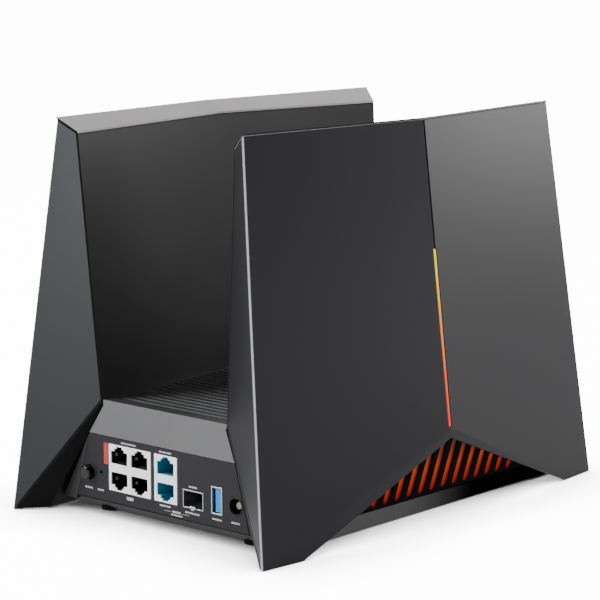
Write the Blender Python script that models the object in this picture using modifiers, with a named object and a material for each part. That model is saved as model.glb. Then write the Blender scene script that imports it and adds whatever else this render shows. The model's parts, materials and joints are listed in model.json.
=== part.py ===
"""Desktop wireless router with two folded wings on a low body, as separate parts.

Metres, +Z up. The origin is under the middle of the router, on the surface it stands on.
The port panel faces -Y. The two wings are mirror images in X, and each wing's far half
mirrors its near half in Y. Sizes are written in millimetres and turned into metres by mm().
"""

import math

import bmesh
import bpy
from mathutils import Matrix, Vector

GAP = 0.3  # clearance between touching pieces
SEGMENTS = 24  # sides of a round piece

# Corners of the right wing's near half
WING_TOP = 207.8
TOP_CORNER = (64.9, -122.9, WING_TOP)
TOP_RIDGE = (76.7, 0.0, WING_TOP)
FOOT_CORNER = (89.3, -136.6, 0.0)
INNER_CORNER = (54.9, -117.3, 201.3)
INNER_FOLD = (67.7, 0.0, 201.6)
HIP = (44.3, -112.6, 60.5)
FOOT_TIP = (85.9, -134.5, 1.1)
FOOT_HEEL = (76.0, -122.3, 0.0)
SIDE_LEAN = 0.545  # how far the leg's inner wall comes in, per unit of height

# Wing walls and the pieces on the ridge
PANEL_WALL = 2.2
COVER_WALL = 1.8
CAP_WALL = 0.8
SEAM = 0.8  # what shows of the inner cover beside the outer shell's end wall
LIP = SEAM - GAP
EDGE_CHAMFER = 0.9  # depth cut off the sharp end edge
COVER_BOTTOM = 0.6
AIR_PASSAGE = (66.0, 16.0, 36.0)  # half length, lowest and highest point
LIGHT_LOW = 49.0
LIGHT_HIGH = 141.0
LIGHT_SLOT = 2.3
LIGHT_GUIDE = 1.7
LIGHT_GUIDE_DEPTH = 4.2
GROOVE_WIDTH = 0.9
GROOVE_DEPTH = 1.2
STRIP_BOARD = (8.0, 1.0)  # width, thickness

# Triangular vent window in the wing's foot, and what stands behind it
WINDOW_APEX = 43.6
WINDOW_FOOT = 109.0
GRILLE_FOOT_X = 76.4
GRILLE_FOOT_Z = 9.0
GRILLE_LEAN = 0.3
GRILLE_WALL = 1.0
GRILLE_HALF_LENGTH = 96.0
GRILLE_OVERLAP = 8.0  # how far it runs up behind the outer panel
SLOT_PITCH = 9.5
SLOT_WIDTH = 5.0
SLOTS_EACH_SIDE = 8
SLOT_BOTTOM = 10.4
SILL_FACE = 76.7  # upright strip under the grille
SILL_BACK = 73.9
SILL_TOP = 8.7
DIFFUSER_SETBACK = 0.8
DIFFUSER_WALL = 1.5
VENT_BOARD = (50.0, 1.2, 40.0, 52.0)  # half length, thickness, lowest and highest point
VENT_BOARD_X = 66.0

# Antennas inside the wings
ANTENNA_X = 66.0
ANTENNA_WALL = 1.0
ANTENNA_NEAR = 45.0
ANTENNA_FAR = 75.0
ANTENNA_LOW = 112.0
ANTENNA_HIGH = 188.0
COAX_RADIUS = 0.9

# Body shell
BODY_TOP = 61.6
DECK_WALL = 2.4
FACET_TOP_Y = 112.3
FACET_BOTTOM = 43.6
FACET_TOP_HALF = 44.1
FACET_BOTTOM_HALF = 51.9
PANEL_FACE_Y = 115.3
PANEL_DEPTH = 2.0
PANEL_BOTTOM = 8.9
PANEL_TOP = 43.2
PANEL_BOTTOM_HALF = 61.4
PANEL_TOP_HALF = 51.9
CHEEK_FRONT = 115.1
CHEEK_BACK = 112.4
TRAY_BOTTOM = 0.8
TRAY_FLOOR = 2.4
TRAY_RIM = 8.5
TRAY_WALL = 2.0
TRAY_END_Y = 102.5
RIB_PITCH = 5.56
RIB_SLOT = 2.3
RIB_SLOTS = 38
RIB_BORDER = 3.0
POST_X = 41.0
POST_Y = 80.0
POST_RADIUS = 3.2
POST_BOTTOM = 4.2
SCREW_HOLE = 1.3
SCREW_SHAFT = 1.0
SCREW_HEAD = 2.4
SCREW_HEAD_HEIGHT = 1.2
CASE_SCREW_REACH = 10.0  # how far it runs up into the post
POST_HOLE_DEPTH = 12.0
HEAD_SINK_DEPTH = 1.5

# Feet
FOOT_PAD_X = 51.3
FOOT_PAD_Y = 99.5
FOOT_PAD_RADIUS = 6.0
FOOT_PAD_HEIGHT = 2.4

# Main board and what is on it
BOARD_BOTTOM = 13.0
BOARD_TOP = 14.6
BOARD_HALF_WIDTH = 57.0
BOARD_NEAR = 110.0
BOARD_FAR = 106.0
BOARD_SCREW_X = 50.0
BOARD_SCREW_Y = 90.0
BOSS_RADIUS = 3.0
BOSS_ROOT = 0.5  # how far a boss is let into the floor
BOARD_SCREW_TIP = 6.0
SHIELD_TOP = 19.5
PAD_TOP = 20.7
PAD_EDGES = (-30.0, 30.0, -50.0, 80.0)
CANS = {"processor_shield": (-30.0, 10.0, -50.0, 0.0), "radio_shield": (-30.0, 30.0, 12.0, 80.0)}
SINK_HALF_WIDTH = 34.0
SINK_NEAR = -62.0
SINK_FAR = 90.0
SINK_BASE = 3.0
SINK_TOP = 52.0
FIN_WALL = 1.6
FIN_COUNT = 12

# Ports, in the plane of the port panel
BEZEL_LOW = 15.3
BEZEL_HIGH = 39.9
BEZEL_PROUD = 0.2
BEZEL_WALL = 0.7
LAN_BEZEL = (-37.3, -6.8)
WAN_BEZEL = (-4.2, 11.9)
LAN_COLUMNS = (-29.75, -15.05)
WAN_COLUMNS = (3.7,)
JACK_TOP_ROW = 29.8  # the straight edge of the upper sockets, latch upward
JACK_LOW_ROW = 25.2  # the straight edge of the lower sockets, latch downward
JACK_STEPS = ((11.8, 6.6, 13.0), (7.0, 8.0, 11.0), (4.0, 9.2, 9.0))  # width, height, depth
JACK_BLOCK_BACK = 96.0
SFP_BOX = (16.1, 30.3, 15.4, 24.8)
SFP_WALL = 0.5
SFP_BACK = 72.0
USB_CENTRE = (39.6, 22.5)
USB_SHELL = (7.6, 14.2)
USB_WALL = 0.7
USB_BACK = 98.0
USB_TONGUE = (4.2, 11.8)
USB_TONGUE_SETBACK = 0.8
USB_ROOT_DEPTH = 3.0  # block at the back of the socket that carries the blade
DC_CENTRE = (52.4, 21.7)
DC_OUTER = 4.8
DC_CLEARANCE = 0.15  # the panel's rim beside the inlet is narrow
DC_INNER = 4.1
DC_BACK = 103.0
DC_PIN = 2.3
DC_PIN_SETBACK = 2.4
DC_FLOOR = 2.0

# Push button and reset key
BUTTON_CENTRE = (-52.5, 22.3)
BUTTON_RADIUS = 3.7
BUTTON_HOLE = 4.1
BUTTON_PROUD = 3.6
BUTTON_COLLAR = 4.8
BUTTON_STEM = 1.5
BUTTON_STEM_REACH = 5.0  # how far the stem reaches into the switch at rest
BUTTON_COLLAR_WALL = 1.2
BUTTON_TRAVEL = 2.5
EDGE_BREAK = 0.6  # chamfer on the rim of a turned piece
SWITCH_HALF_WIDTH = 4.5
SWITCH_HEADROOM = 5.5  # above the stem's axis
SWITCH_FRONT = 107.0
SWITCH_BACK = 95.0
RESET_CENTRE = (-43.2, 23.7)
PINHOLE_RADIUS = 0.9
RESET_RADIUS = 1.1
RESET_FRONT = 112.7
RESET_LENGTH = 3.2
RESET_TRAVEL = 0.4
RESET_SWITCH = (-46.0, -40.4, 27.0)  # lowest and highest x, top
RESET_SWITCH_FRONT = 110.9
RESET_SWITCH_BACK = 106.4

DARK_SATIN = (0.022, 0.023, 0.026)
DARK_GREY = (0.045, 0.045, 0.047)
MID_GREY = (0.10, 0.10, 0.105)
BLACK = (0.006, 0.006, 0.006)
WHITE = (0.80, 0.80, 0.82)
TEAL = (0.004, 0.20, 0.34)
STEEL = (0.60, 0.60, 0.62)
BOARD_GREEN = (0.01, 0.08, 0.05)


def mm(*lengths):
    """Lengths in millimetres as metres: one number, or a Vector of three."""
    if len(lengths) == 1:
        return lengths[0] * 0.001
    return Vector(lengths) * 0.001


def clear_scene():
    for obj in list(bpy.data.objects):
        bpy.data.objects.remove(obj, do_unlink=True)


def make_collection(name):
    collection = bpy.data.collections.new(name)
    bpy.context.scene.collection.children.link(collection)
    return collection


def add_part(name, mesh, colour, roughness, metallic=0.0):
    """Links a finished mesh as a named part with its own material."""
    obj = bpy.data.objects.new(name, mesh)
    PARTS.objects.link(obj)
    material = bpy.data.materials.new(name + "_finish")
    material.use_nodes = True
    shader = material.node_tree.nodes["Principled BSDF"]
    shader.inputs["Base Color"].default_value = (*colour, 1.0)
    shader.inputs["Roughness"].default_value = roughness
    shader.inputs["Metallic"].default_value = metallic
    mesh.materials.clear()
    mesh.materials.append(material)
    return obj


def add_cutter(name, mesh):
    obj = bpy.data.objects.new(name, mesh)
    CUTTERS.objects.link(obj)
    obj.hide_render = True
    obj.display_type = "WIRE"
    return obj


def combine(obj, operation, other):
    modifier = obj.modifiers.new(other.name, "BOOLEAN")
    modifier.operation = operation
    modifier.object = other
    modifier.solver = "EXACT"


def mirror_in_y(obj):
    modifier = obj.modifiers.new("other_half", "MIRROR")
    modifier.use_axis = (False, True, False)
    modifier.merge_threshold = 0.00001
    return obj


def left_copy(obj, name, colour, roughness, metallic=0.0):
    """The same part on the -X side, from the finished right one."""
    bpy.context.view_layer.update()
    graph = bpy.context.evaluated_depsgraph_get()
    mesh = bpy.data.meshes.new_from_object(obj.evaluated_get(graph))
    bm = bmesh.new()
    bm.from_mesh(mesh)
    bmesh.ops.scale(bm, vec=(-1, 1, 1), verts=bm.verts)
    bmesh.ops.reverse_faces(bm, faces=bm.faces)
    bm.to_mesh(mesh)
    bm.free()
    return add_part(name, mesh, colour, roughness, metallic)


# Planes are (point, normal), and what lies on the normal's side is cut away.


def plane_through(a, b, c, kept):
    """The plane through three points, with the point kept on the side that stays."""
    a, b, c, kept = (mm(*point) for point in (a, b, c, kept))
    normal = (b - a).cross(c - a).normalized()
    if normal.dot(kept - a) > 0:
        normal.negate()
    return a, normal


def moved_in(plane, distance):
    point, normal = plane
    return point - normal * mm(distance), normal


def turned_round(plane):
    return plane[0], -plane[1]


def in_mirror_x(plane):
    point, normal = plane
    flip = Vector((-1, 1, 1))
    return point * flip, normal * flip


def level(z, keep_above):
    return mm(0, 0, z), Vector((0, 0, -1 if keep_above else 1))


INSIDE_WING = (72.0, -60.0, 100.0)
OUTER = plane_through(TOP_CORNER, TOP_RIDGE, FOOT_CORNER, INSIDE_WING)
INNER = plane_through(INNER_CORNER, INNER_FOLD, HIP, INSIDE_WING)
END = plane_through(TOP_CORNER, FOOT_CORNER, HIP, INSIDE_WING)
TOP = plane_through(TOP_CORNER, TOP_RIDGE, INNER_FOLD, INSIDE_WING)
HIP_FACE = plane_through(HIP, FOOT_TIP, FOOT_HEEL, INSIDE_WING)
SIDE = (mm(*FOOT_HEEL), Vector((-1, 0, -SIDE_LEAN)).normalized())
WINDOW = plane_through(
    (0, 0, WINDOW_APEX), (50, 0, WINDOW_APEX), (0, -WINDOW_FOOT, 0), INSIDE_WING
)
RIDGE_FACE = (mm(*TOP_RIDGE), Vector((OUTER[1].x, 0, OUTER[1].z)).normalized())
GRILLE_FACE = (
    mm(GRILLE_FOOT_X, 0, GRILLE_FOOT_Z),
    Vector((1, 0, -GRILLE_LEAN)).normalized(),
)
FACET = plane_through(
    (0, -FACET_TOP_Y, BODY_TOP), (50, -FACET_TOP_Y, BODY_TOP), (0, -PANEL_FACE_Y, FACET_BOTTOM), (0, 0, 50)
)
TRAY_SLANT = plane_through(
    (0, -TRAY_END_Y, TRAY_BOTTOM), (50, -TRAY_END_Y, TRAY_BOTTOM), (0, -PANEL_FACE_Y, TRAY_RIM), (0, 0, 50)
)


def clipped_block(low, high, planes, open_at_middle=False):
    """A block from low to high, in millimetres, cut by planes in turn.

    With open_at_middle it ends open at y = 0, ready to be mirrored.
    """
    bm = bmesh.new()
    bmesh.ops.create_cube(bm, size=1.0)
    low, high = mm(*low), mm(*high)
    bmesh.ops.scale(bm, vec=high - low, verts=bm.verts)
    bmesh.ops.translate(bm, vec=(low + high) / 2, verts=bm.verts)
    middle = [(Vector(), Vector((0, 1, 0)))] if open_at_middle else []
    for point, normal in list(planes) + middle:
        everything = bm.verts[:] + bm.edges[:] + bm.faces[:]
        cut = bmesh.ops.bisect_plane(
            bm, geom=everything, dist=1e-8, plane_co=point, plane_no=normal, clear_outer=True
        )
        rim = [item for item in cut["geom_cut"] if isinstance(item, bmesh.types.BMEdge)]
        if rim and (point, normal) not in middle:
            bmesh.ops.edgeloop_fill(bm, edges=rim)
    bmesh.ops.recalc_face_normals(bm, faces=bm.faces)
    mesh = bpy.data.meshes.new("block")
    bm.to_mesh(mesh)
    bm.free()
    return mesh


def boxes(corner_pairs):
    """One mesh of separate boxes, each from a low and a high corner in millimetres."""
    bm = bmesh.new()
    for low, high in corner_pairs:
        low, high = mm(*low), mm(*high)
        cube = bmesh.ops.create_cube(bm, size=1.0)["verts"]
        bmesh.ops.scale(bm, vec=high - low, verts=cube)
        bmesh.ops.translate(bm, vec=(low + high) / 2, verts=cube)
    mesh = bpy.data.meshes.new("boxes")
    bm.to_mesh(mesh)
    bm.free()
    return mesh


def cylinders(items, axis):
    """One mesh of separate cylinders: (centre, radius, start, end) along the axis, in millimetres."""
    turn = {"Y": Matrix.Rotation(math.radians(-90), 4, "X"), "Z": Matrix()}[axis]
    bm = bmesh.new()
    for centre, radius, start, end in items:
        along = Vector((0, (start + end) / 2, 0)) if axis == "Y" else Vector((0, 0, (start + end) / 2))
        offset = Vector((centre[0], 0, centre[1])) if axis == "Y" else Vector((*centre, 0))
        bmesh.ops.create_cone(
            bm,
            cap_ends=True,
            segments=SEGMENTS,
            radius1=mm(radius),
            radius2=mm(radius),
            depth=mm(end - start),
            matrix=Matrix.Translation((along + offset) * 0.001) @ turn,
        )
    mesh = bpy.data.meshes.new("cylinders")
    bm.to_mesh(mesh)
    bm.free()
    return mesh


def outline_mesh(outlines, plane, start, end):
    """Closed flat outlines, in millimetres, extruded from start to end.

    In plane "XZ" they are (x, z) points extruded along Y, and in "YZ" (y, z) along X.
    """
    curve = bpy.data.curves.new("outline", "CURVE")
    curve.dimensions = "2D"
    curve.fill_mode = "BOTH"
    curve.extrude = mm(end - start) / 2
    for outline in outlines:
        spline = curve.splines.new("POLY")
        spline.points.add(len(outline) - 1)
        for point, (across, up) in zip(spline.points, outline):
            point.co = (mm(across), mm(up), 0, 1)
        spline.use_cyclic_u = True
    if plane == "XZ":
        turn = Matrix.Rotation(math.radians(90), 4, "X")
        place = Matrix.Translation(mm(0, (start + end) / 2, 0))
    else:
        turn = Matrix(((0, 0, 1, 0), (1, 0, 0, 0), (0, 1, 0, 0), (0, 0, 0, 1)))
        place = Matrix.Translation(mm((start + end) / 2, 0, 0))
    guide = bpy.data.objects.new("outline", curve)
    CUTTERS.objects.link(guide)
    bpy.context.view_layer.update()
    graph = bpy.context.evaluated_depsgraph_get()
    mesh = bpy.data.meshes.new_from_object(guide.evaluated_get(graph))
    bpy.data.objects.remove(guide)
    bm = bmesh.new()
    bm.from_mesh(mesh)
    bmesh.ops.remove_doubles(bm, verts=bm.verts, dist=1e-6)
    bmesh.ops.dissolve_limit(bm, angle_limit=math.radians(0.1), verts=bm.verts, edges=bm.edges)
    bmesh.ops.transform(bm, matrix=place @ turn, verts=bm.verts)
    bmesh.ops.recalc_face_normals(bm, faces=bm.faces)
    bm.to_mesh(mesh)
    bm.free()
    return mesh


def rounded_slot(centre, width, bottom, top, steps=6):
    """A slot outline with a round lower end and a square upper end."""
    radius = width / 2
    points = [(centre + radius, top), (centre - radius, top)]
    for step in range(steps + 1):
        angle = math.pi * (1 + step / steps)
        points.append(
            (centre + radius * math.cos(angle), bottom + radius + radius * math.sin(angle))
        )
    return points


def turned(name, profile, colour, roughness, metallic=0.0):
    """A round piece about its own Z axis: (radius, height) points from the top down its outer side."""
    bm = bmesh.new()
    points = [bm.verts.new((mm(radius), 0, mm(height))) for radius, height in profile]
    for first, second in zip(points, points[1:]):
        bm.edges.new((first, second))
    mesh = bpy.data.meshes.new(name)
    bm.to_mesh(mesh)
    bm.free()
    obj = add_part(name, mesh, colour, roughness, metallic)
    screw = obj.modifiers.new("turn", "SCREW")
    screw.steps = SEGMENTS
    screw.render_steps = SEGMENTS
    screw.use_merge_vertices = True
    screw.merge_threshold = 0.00001
    return obj


def make_outer_panels():
    """Folded outer shell of each wing with its end walls, the vent window, light slot and groove."""
    blend = (OUTER[1] + END[1]).normalized()
    chamfer = (mm(*TOP_CORNER) - blend * mm(EDGE_CHAMFER), blend)
    planes = [
        OUTER,
        END,
        moved_in(TOP, CAP_WALL + GAP),
        level(0, True),
        moved_in(INNER, SEAM),
        moved_in(HIP_FACE, SEAM),
        moved_in(SIDE, SEAM),
        chamfer,
    ]
    mesh = clipped_block((20, -150, -5), (130, 20, 220), planes, open_at_middle=True)
    panel = mirror_in_y(add_part("wing_outer_panel_right", mesh, DARK_SATIN, 0.38))
    walls = [moved_in(OUTER, PANEL_WALL), moved_in(END, PANEL_WALL)]
    hollow = clipped_block((10, -160, -10), (140, 20, 230), walls, open_at_middle=True)
    combine(panel, "DIFFERENCE", mirror_in_y(add_cutter("shell_hollow", hollow)))
    opening = clipped_block(
        (60, -WINDOW_FOOT - 5, -10), (140, 20, 60), [turned_round(WINDOW)], open_at_middle=True
    )
    combine(panel, "DIFFERENCE", mirror_in_y(add_cutter("vent_window", opening)))
    half = LIGHT_SLOT / 2
    combine(
        panel,
        "DIFFERENCE",
        add_cutter("light_slot", boxes([((60, -half, LIGHT_LOW), (120, half, LIGHT_HIGH))])),
    )
    half = GROOVE_WIDTH / 2
    bed = turned_round(moved_in(RIDGE_FACE, GROOVE_DEPTH))
    groove = clipped_block((50, -half, LIGHT_HIGH - 1), (120, half, WING_TOP + 5), [bed])
    combine(panel, "DIFFERENCE", add_cutter("ridge_groove", groove))
    left_copy(panel, "wing_outer_panel_left", DARK_SATIN, 0.38)


def make_inner_covers():
    """The wing's inner face, the facet under its hip and the leg's inner wall, as one moulding."""
    planes = [
        INNER,
        SIDE,
        HIP_FACE,
        END,
        moved_in(TOP, CAP_WALL + GAP),
        moved_in(OUTER, PANEL_WALL + GAP),
        level(COVER_BOTTOM, True),
    ]
    mesh = clipped_block((20, -150, -5), (130, 20, 220), planes, open_at_middle=True)
    cover = mirror_in_y(add_part("wing_inner_cover_right", mesh, DARK_GREY, 0.45))
    faces = (INNER, SIDE, HIP_FACE)
    walls = [moved_in(face, COVER_WALL) for face in faces]
    hollow = clipped_block((20, -160, -10), (140, 20, 230), walls, open_at_middle=True)
    combine(cover, "DIFFERENCE", mirror_in_y(add_cutter("wing_hollow", hollow)))
    walls = [moved_in(face, LIP) for face in faces]
    walls.append(turned_round(moved_in(END, PANEL_WALL + GAP)))
    rebate = clipped_block((20, -160, -10), (140, -80, 230), walls)
    combine(cover, "DIFFERENCE", mirror_in_y(add_cutter("end_rebate", rebate)))
    half, low, high = AIR_PASSAGE
    passage = add_cutter("air_passage", boxes([((40, -half, low), (90, half, high))]))
    combine(cover, "DIFFERENCE", passage)
    half = GRILLE_HALF_LENGTH + GAP
    room = boxes([((SILL_BACK - GAP, -half, -1), (90, half, SILL_TOP + GAP))])
    combine(cover, "DIFFERENCE", add_cutter("sill_room", room))
    left_copy(cover, "wing_inner_cover_left", DARK_GREY, 0.45)


def make_top_caps():
    """Thin sloping plate that closes the top of each wing from the outer face to the inner one."""
    planes = [TOP, turned_round(moved_in(TOP, CAP_WALL)), OUTER, INNER, END]
    mesh = clipped_block((20, -150, 150), (130, 20, 230), planes, open_at_middle=True)
    cap = mirror_in_y(add_part("wing_top_cap_right", mesh, MID_GREY, 0.4))
    left_copy(cap, "wing_top_cap_left", MID_GREY, 0.4)


def make_ridge_lights():
    """Clear bar in the ridge slot, and the board of lamps behind it."""
    half = LIGHT_GUIDE / 2
    guide = clipped_block(
        (50, -half, LIGHT_LOW + GAP),
        (130, half, LIGHT_HIGH - GAP),
        [
            moved_in(RIDGE_FACE, 0.15),
            turned_round(moved_in(RIDGE_FACE, LIGHT_GUIDE_DEPTH)),
        ],
    )
    bar = add_part("ridge_light_guide_right", guide, (0.9, 0.5, 0.2), 0.3)
    left_copy(bar, "ridge_light_guide_left", (0.9, 0.5, 0.2), 0.3)
    width, thickness = STRIP_BOARD
    front = LIGHT_GUIDE_DEPTH + GAP
    strip = clipped_block(
        (50, -width / 2, LIGHT_LOW - 2),
        (130, width / 2, LIGHT_HIGH + 2),
        [
            moved_in(RIDGE_FACE, front),
            turned_round(moved_in(RIDGE_FACE, front + thickness)),
        ],
    )
    board = add_part("ridge_light_board_right", strip, WHITE, 0.5)
    left_copy(board, "ridge_light_board_left", WHITE, 0.5)


def make_vent_windows():
    """Slotted grille in each vent window with its sill, the diffuser behind and a row of lamps."""
    off_wall = moved_in(SIDE, COVER_WALL + GAP)
    behind_panel = moved_in(OUTER, PANEL_WALL + 2 * GAP)
    above_window = moved_in(WINDOW, GRILLE_OVERLAP)
    limit = turned_round(above_window)
    shared = [behind_panel, limit, off_wall]
    low = (30, -GRILLE_HALF_LENGTH, GRILLE_FOOT_Z)
    high = (130, 20, 80)
    back = turned_round(moved_in(GRILLE_FACE, GRILLE_WALL))
    mesh = clipped_block(low, high, [GRILLE_FACE, back] + shared, open_at_middle=True)
    grille = mirror_in_y(add_part("vent_grille_right", mesh, BLACK, 0.3))
    slots = []
    for index in range(-SLOTS_EACH_SIDE, SLOTS_EACH_SIDE + 1):
        centre = index * SLOT_PITCH
        edge = WINDOW_APEX * (1 - abs(centre) / WINDOW_FOOT)
        slots.append(rounded_slot(centre, SLOT_WIDTH, SLOT_BOTTOM, edge + 2.0))
    combine(grille, "DIFFERENCE", add_cutter("vent_slots", outline_mesh(slots, "YZ", 60, 110)))
    left_copy(grille, "vent_grille_left", BLACK, 0.3)

    low_corner = (SILL_BACK, -GRILLE_HALF_LENGTH, COVER_BOTTOM)
    mesh = clipped_block(low_corner, (SILL_FACE, 20, SILL_TOP), [SIDE], open_at_middle=True)
    sill = mirror_in_y(add_part("vent_sill_right", mesh, DARK_GREY, 0.5))
    left_copy(sill, "vent_sill_left", DARK_GREY, 0.5)

    depth = GRILLE_WALL + DIFFUSER_SETBACK
    planes = [
        moved_in(GRILLE_FACE, depth),
        turned_round(moved_in(GRILLE_FACE, depth + DIFFUSER_WALL)),
    ]
    mesh = clipped_block(low, high, planes + shared, open_at_middle=True)
    diffuser = mirror_in_y(add_part("vent_diffuser_right", mesh, (0.8, 0.12, 0.03), 0.5))
    left_copy(diffuser, "vent_diffuser_left", (0.8, 0.12, 0.03), 0.5)

    half, thickness, bottom, top = VENT_BOARD
    corners = ((VENT_BOARD_X, -half, bottom), (VENT_BOARD_X + thickness, half, top))
    board = add_part("vent_light_board_right", boxes([corners]), BOARD_GREEN, 0.5)
    left_copy(board, "vent_light_board_left", BOARD_GREEN, 0.5)


def make_antennas():
    """Two upright antenna boards in each wing, with their coaxial leads down to the main board."""
    for label, sign in (("near", -1), ("far", 1)):
        edges = sorted((sign * ANTENNA_NEAR, sign * ANTENNA_FAR))
        corners = (
            (ANTENNA_X, edges[0], ANTENNA_LOW),
            (ANTENNA_X + ANTENNA_WALL, edges[1], ANTENNA_HIGH),
        )
        board = add_part(f"antenna_{label}_right", boxes([corners]), BOARD_GREEN, 0.5)
        left_copy(board, f"antenna_{label}_left", BOARD_GREEN, 0.5)
        route = [
            (66.5, 62.0, ANTENNA_LOW - 1.0),
            (66.5, 62.0, 90.0),
            (67.5, 61.5, 60.0),
            (68.0, 61.0, 40.0),
            (66.5, 60.5, 31.0),
            (61.0, 60.0, 26.5),
            (56.0, 60.0, 23.5),
            (53.5, 60.0, 19.5),
            (53.0, 60.0, BOARD_TOP + 0.5),
        ]
        lead = make_coax([(x, sign * y, z) for x, y, z in route])
        coax = add_part(f"coax_{label}_right", lead, BLACK, 0.5)
        left_copy(coax, f"coax_{label}_left", BLACK, 0.5)


def make_coax(route):
    """A thin round lead along a route in millimetres, as a closed mesh."""
    curve = bpy.data.curves.new("lead", "CURVE")
    curve.dimensions = "3D"
    curve.bevel_depth = mm(COAX_RADIUS)
    curve.bevel_resolution = 2
    curve.use_fill_caps = True
    spline = curve.splines.new("POLY")
    spline.points.add(len(route) - 1)
    for point, place in zip(spline.points, route):
        point.co = (*mm(*place), 1)
    guide = bpy.data.objects.new("lead", curve)
    CUTTERS.objects.link(guide)
    bpy.context.view_layer.update()
    graph = bpy.context.evaluated_depsgraph_get()
    mesh = bpy.data.meshes.new_from_object(guide.evaluated_get(graph))
    bpy.data.objects.remove(guide)
    bm = bmesh.new()
    bm.from_mesh(mesh)
    bmesh.ops.remove_doubles(bm, verts=bm.verts, dist=1e-6)
    bmesh.ops.recalc_face_normals(bm, faces=bm.faces)
    bm.to_mesh(mesh)
    bm.free()
    return mesh


def four(x, y):
    return [(sx * x, sy * y) for sx in (-1, 1) for sy in (-1, 1)]


def make_base_tray():
    """Bottom tray: slanted ends, cheeks beside the end panels, board bosses and case screw holes."""
    side = moved_in((SIDE[0], -SIDE[1]), 0.4)
    planes = [side, in_mirror_x(side), TRAY_SLANT]
    low = (-100, -130, TRAY_BOTTOM)
    mesh = clipped_block(low, (100, 20, TRAY_RIM), planes, open_at_middle=True)
    tray = mirror_in_y(add_part("base_tray", mesh, DARK_GREY, 0.5))
    inner = [moved_in(plane, TRAY_WALL) for plane in planes]
    low = (-100, -130, TRAY_BOTTOM + TRAY_FLOOR)
    hollow = clipped_block(low, (100, 20, 40), inner, open_at_middle=True)
    combine(tray, "DIFFERENCE", mirror_in_y(add_cutter("tray_hollow", hollow)))
    edge_run = PANEL_BOTTOM_HALF - PANEL_TOP_HALF
    outward = Vector((PANEL_TOP - PANEL_BOTTOM, 0, edge_run)).normalized()
    panel_edge = (mm(PANEL_BOTTOM_HALF, 0, PANEL_BOTTOM), -outward)
    beside_panel = moved_in(panel_edge, GAP)
    low = (50, -CHEEK_FRONT, TRAY_RIM - 2)
    cheek = clipped_block(low, (90, -CHEEK_BACK, PANEL_TOP - 1), [side, beside_panel])
    for label, sign in (("right", 1), ("left", -1)):
        pieces = mirror_in_y(add_cutter(f"tray_cheeks_{label}", cheek.copy()))
        if sign < 0:
            flip = bmesh.new()
            flip.from_mesh(pieces.data)
            bmesh.ops.scale(flip, vec=(-1, 1, 1), verts=flip.verts)
            bmesh.ops.reverse_faces(flip, faces=flip.faces)
            flip.to_mesh(pieces.data)
            flip.free()
        combine(tray, "UNION", pieces)
    places = four(BOARD_SCREW_X, BOARD_SCREW_Y)
    floor = TRAY_BOTTOM + TRAY_FLOOR
    bosses = [(place, BOSS_RADIUS, floor - BOSS_ROOT, BOARD_BOTTOM - GAP) for place in places]
    combine(tray, "UNION", add_cutter("tray_bosses", cylinders(bosses, "Z")))
    holes = [(place, SCREW_HOLE, floor + 1.0, BOARD_TOP) for place in places]
    places = four(POST_X, POST_Y)
    holes += [(place, SCREW_HOLE, TRAY_BOTTOM - 2, floor + 2) for place in places]
    combine(tray, "DIFFERENCE", add_cutter("tray_screw_holes", cylinders(holes, "Z")))
    depth = TRAY_BOTTOM + HEAD_SINK_DEPTH
    sunk = [(place, SCREW_HEAD + GAP, TRAY_BOTTOM - 2, depth) for place in places]
    combine(tray, "DIFFERENCE", add_cutter("tray_head_sinks", cylinders(sunk, "Z")))


def make_top_cover():
    """Louvred deck between the wings, its two end facets and the four posts that take the case screws."""
    side = moved_in(turned_round(INNER), 0.4)
    planes = [side, in_mirror_x(side), FACET]
    low = (-100, -130, BODY_TOP - DECK_WALL)
    mesh = clipped_block(low, (100, 20, BODY_TOP), planes, open_at_middle=True)
    cover = mirror_in_y(add_part("top_cover", mesh, MID_GREY, 0.45))

    lean = Vector((BODY_TOP - FACET_BOTTOM, 0, FACET_BOTTOM_HALF - FACET_TOP_HALF)).normalized()
    edge = (mm(FACET_BOTTOM_HALF, 0, FACET_BOTTOM), lean)
    leg = moved_in(turned_round(SIDE), 0.4)
    planes = [
        edge,
        in_mirror_x(edge),
        leg,
        in_mirror_x(leg),
        FACET,
        turned_round(moved_in(FACET, DECK_WALL)),
    ]
    facet = clipped_block((-100, -130, FACET_BOTTOM), (100, -20, BODY_TOP), planes)
    combine(cover, "UNION", mirror_in_y(add_cutter("cover_facets", facet)))

    places = four(POST_X, POST_Y)
    posts = [(place, POST_RADIUS, POST_BOTTOM, BODY_TOP - DECK_WALL / 2) for place in places]
    combine(cover, "UNION", add_cutter("cover_posts", cylinders(posts, "Z")))
    holes = [(place, SCREW_HOLE, 0, POST_BOTTOM + POST_HOLE_DEPTH) for place in places]
    combine(cover, "DIFFERENCE", add_cutter("cover_screw_holes", cylinders(holes, "Z")))

    slots = []
    point, normal = side
    for index in range(RIB_SLOTS):
        y = (index - (RIB_SLOTS - 1) / 2) * RIB_PITCH
        reach = point.x * 1000 - (-abs(y) - point.y * 1000) * normal.y / normal.x
        reach -= (BODY_TOP - point.z * 1000) * normal.z / normal.x
        half = reach - RIB_BORDER
        spans = [(-half, half)]
        if abs(abs(y) - POST_Y) < POST_RADIUS + RIB_SLOT / 2:
            clear = POST_RADIUS + 0.5
            spans = [
                (-half, -POST_X - clear),
                (-POST_X + clear, POST_X - clear),
                (POST_X + clear, half),
            ]
        for start, end in spans:
            if end - start > 1.0:
                slots.append(((start, y - RIB_SLOT / 2, 50), (end, y + RIB_SLOT / 2, 70)))
    combine(cover, "DIFFERENCE", add_cutter("louvre_slots", boxes(slots)))


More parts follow.
